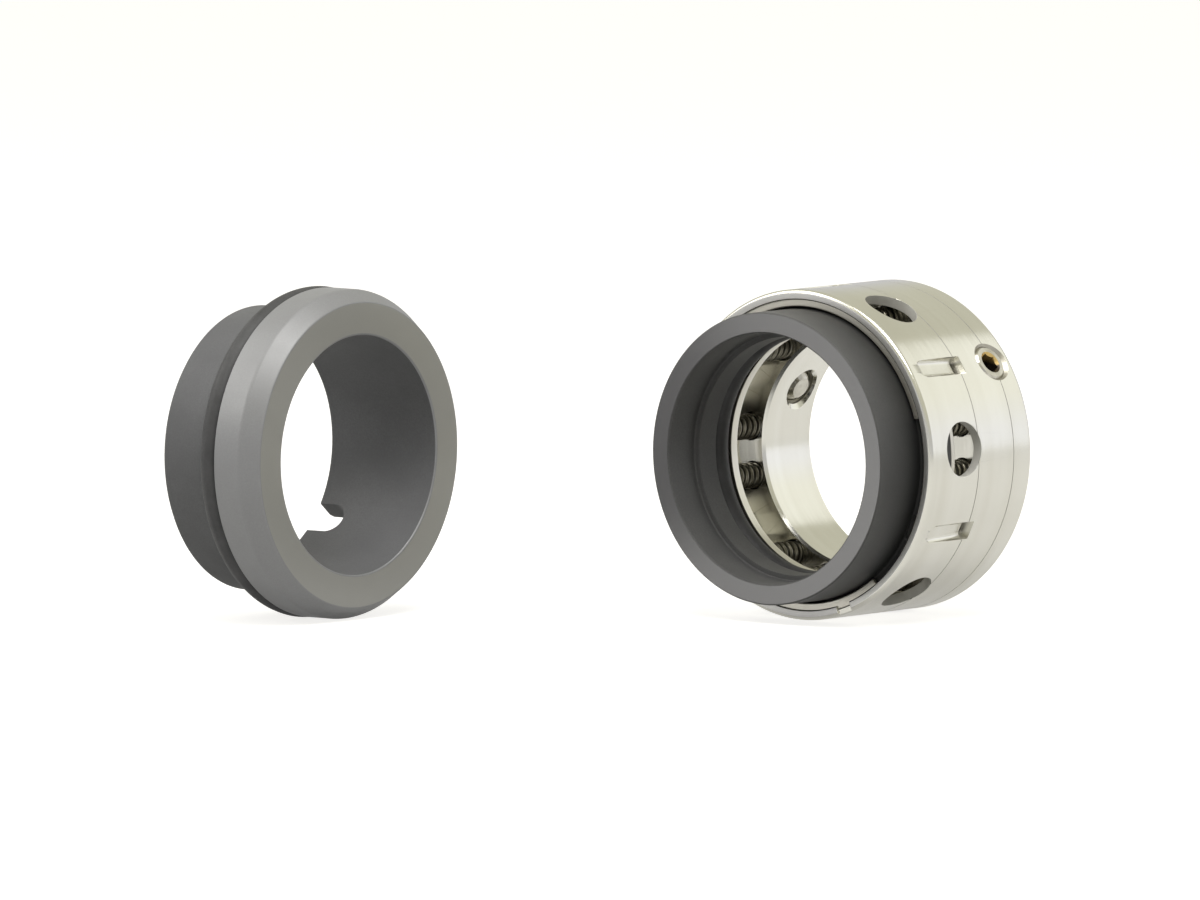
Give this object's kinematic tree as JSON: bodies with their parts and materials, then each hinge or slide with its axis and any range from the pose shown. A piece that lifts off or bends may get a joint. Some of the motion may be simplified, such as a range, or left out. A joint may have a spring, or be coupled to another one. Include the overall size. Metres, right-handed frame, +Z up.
{
  "type": "component mechanical seal",
  "caption": "Shaft seal set: a rotary head with a steel retainer, springs and dark sliding face ring, and a stationary grey ceramic seat ring with a rubber ring.",
  "frame": {"origin": "point where the set screws' axes cross the shaft axis, inside the retainer's bore", "axes": "+Y along the shaft axis from the running face to the retainer's back face, +Z up, +X to the side; the seat's axis runs along X and its face looks to +X"},
  "size_m": [0.136, 0.1294, 0.0703],
  "materials": {
    "stainless": "polished",
    "dark_carbide": "lapped and ground ceramic",
    "grey_carbide": "ground ceramic",
    "rubber": "moulded",
    "spring_steel": "drawn wire",
    "screw_steel": "satin"
  },
  "bodies": {
    "head": {"retainer": "stainless", "snap_ring": "stainless", "spring_01": "spring_steel", "spring_02": "spring_steel", "spring_03": "spring_steel", "spring_04": "spring_steel", "spring_05": "spring_steel", "spring_06": "spring_steel", "spring_07": "spring_steel", "spring_08": "spring_steel", "spring_09": "spring_steel", "spring_10": "spring_steel", "spring_11": "spring_steel", "spring_12": "spring_steel", "seat_ring": "grey_carbide", "seat_o_ring": "rubber"},
    "sliding_face": {"primary_ring": "dark_carbide", "shaft_o_ring": "rubber", "thrust_ring": "stainless"},
    "set_screw_1": {"set_screw_1": "screw_steel"},
    "set_screw_2": {"set_screw_2": "screw_steel"},
    "set_screw_3": {"set_screw_3": "screw_steel"}
  },
  "joints": [
    {"name": "face_slide", "type": "slide", "parent": "head", "child": "sliding_face", "axis": [0, 1, 0], "range_m": [0, 0.003], "stiffness_N_per_m": 12000, "springref_m": -0.004, "deforming": ["spring_01", "spring_02", "spring_03", "spring_04", "spring_05", "spring_06", "spring_07", "spring_08", "spring_09", "spring_10", "spring_11", "spring_12"]},
    {"name": "set_screw_1_travel", "type": "slide", "parent": "head", "child": "set_screw_1", "axis": [-0.829, 0, -0.5592], "range_m": [0, 0.002]},
    {"name": "set_screw_2_travel", "type": "slide", "parent": "head", "child": "set_screw_2", "axis": [-0.0698, 0, 0.9976], "range_m": [0, 0.002]},
    {"name": "set_screw_3_travel", "type": "slide", "parent": "head", "child": "set_screw_3", "axis": [0.8988, 0, -0.4384], "range_m": [0, 0.002]}
  ]
}
